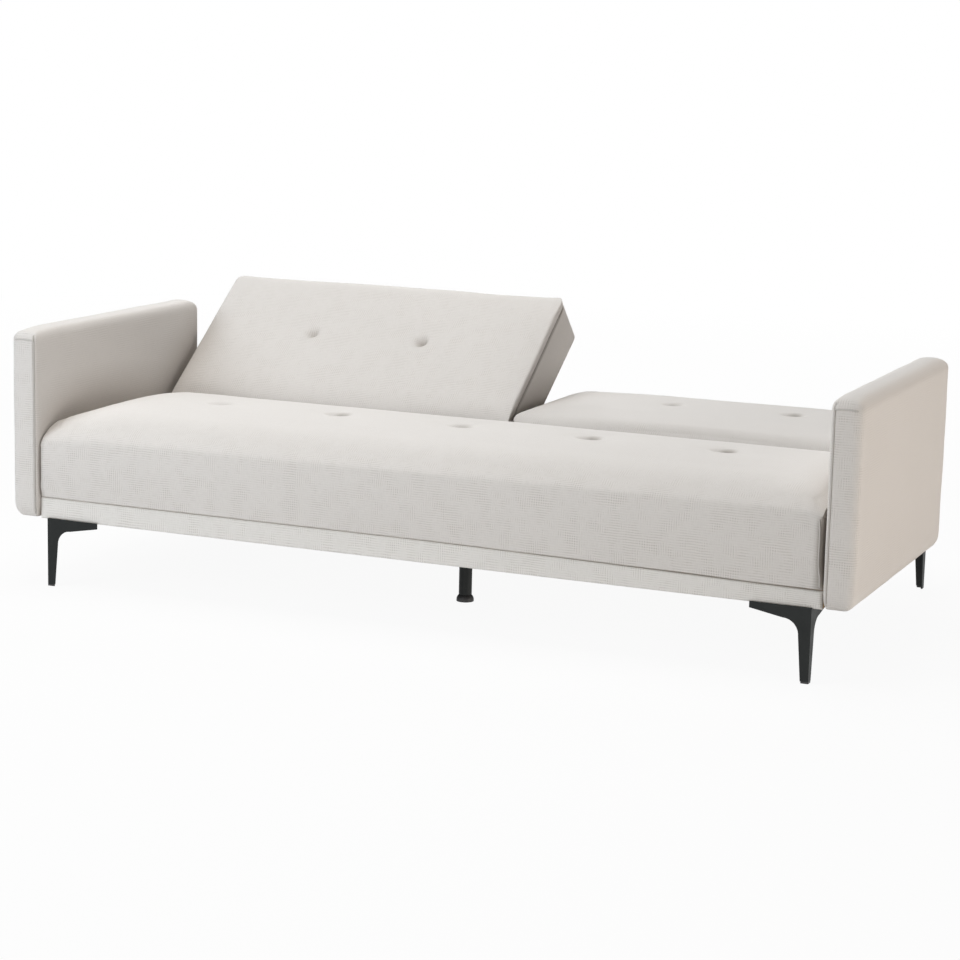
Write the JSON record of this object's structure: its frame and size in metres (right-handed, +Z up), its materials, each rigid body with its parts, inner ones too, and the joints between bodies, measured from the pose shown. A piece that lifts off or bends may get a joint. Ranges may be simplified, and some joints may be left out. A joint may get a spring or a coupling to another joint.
{
  "type": "sofa bed",
  "caption": "Sofa bed with slim padded arms, a tufted seat and a split tufted back; each half folds from upright to flat on ratchet hinges, over black sheet-metal legs.",
  "frame": {"origin": "on the floor, at the middle of the rest pose's outline", "axes": "+X to the right of a viewer who faces the front, along the width; +Y from the front to the back; +Z up"},
  "size_m": [2, 1.07, 0.6397],
  "materials": {
    "cloth": "matte",
    "timber": "matte",
    "steel": "satin",
    "black_metal": "satin",
    "glide_plastic": "matte",
    "buffer_rubber": "matte",
    "black_felt": "matte",
    "foam": "matte",
    "webbing": "matte",
    "twine": "matte"
  },
  "bodies": {
    "base": {"apron_cover": "cloth", "arm_bolts_left": "steel", "arm_bolts_right": "steel", "arm_cover_left": "cloth", "arm_cover_right": "cloth", "arm_frame_left": "timber", "arm_frame_right": "timber", "centre_leg": "black_metal", "centre_rail": "timber", "cross_rail": "timber", "dust_cover": "black_felt", "front_rail": "timber", "hinge_bracket_centre": "steel", "hinge_bracket_left": "steel", "hinge_bracket_right": "steel", "hinge_foot_screws": "steel", "hinge_pin_centre": "steel", "hinge_pin_left": "steel", "hinge_pin_right": "steel", "leg_front_left": "black_metal", "leg_front_right": "black_metal", "leg_glides": "glide_plastic", "leg_rear_left": "black_metal", "leg_rear_right": "black_metal", "leg_screws": "steel", "pawl_pin_left": "steel", "pawl_pin_right": "steel", "pawl_spring_left": "steel", "pawl_spring_right": "steel", "rear_buffers": "buffer_rubber", "rear_rail": "timber", "seat_cover": "cloth", "seat_foam": "foam", "seat_frame": "timber", "seat_tuft_ties": "twine", "seat_webbing": "webbing", "side_rail_left": "timber", "side_rail_right": "timber"},
    "back_left": {"back_cover_left": "cloth", "back_frame_left": "timber", "back_webbing_left": "webbing", "back_foam_left": "foam", "back_tuft_ties_left": "twine", "hinge_tail_screws_left": "steel", "hinge_plate_outer_left": "steel", "hinge_plate_inner_left": "steel"},
    "back_right": {"back_cover_right": "cloth", "back_frame_right": "timber", "back_webbing_right": "webbing", "back_foam_right": "foam", "back_tuft_ties_right": "twine", "hinge_tail_screws_right": "steel", "hinge_plate_outer_right": "steel", "hinge_plate_inner_right": "steel"},
    "pawl_left": {"pawl_left": "steel"},
    "pawl_right": {"pawl_right": "steel"},
    "centre_foot": {"centre_foot": "glide_plastic"}
  },
  "joints": [
    {"name": "back_left_fold", "type": "hinge", "parent": "base", "child": "back_left", "pos_m": [0, 0.097, 0.332], "axis": [1, 0, 0], "range_deg": [-37.5, 37.5]},
    {"name": "back_right_fold", "type": "hinge", "parent": "base", "child": "back_right", "pos_m": [0, 0.097, 0.332], "axis": [1, 0, 0], "range_deg": [0, 75]},
    {"name": "pawl_left_lift", "type": "hinge", "parent": "base", "child": "pawl_left", "pos_m": [-0.918, 0.063, 0.256], "axis": [-1, 0, 0], "range_deg": [0, 10], "deforming": ["pawl_spring_left"]},
    {"name": "pawl_right_lift", "type": "hinge", "parent": "base", "child": "pawl_right", "pos_m": [0.918, 0.063, 0.256], "axis": [-1, 0, 0], "range_deg": [0, 10], "deforming": ["pawl_spring_right"]},
    {"name": "centre_foot_screw", "type": "slide", "parent": "base", "child": "centre_foot", "axis": [0, 0, -1], "range_m": [0, 0.012]}
  ]
}
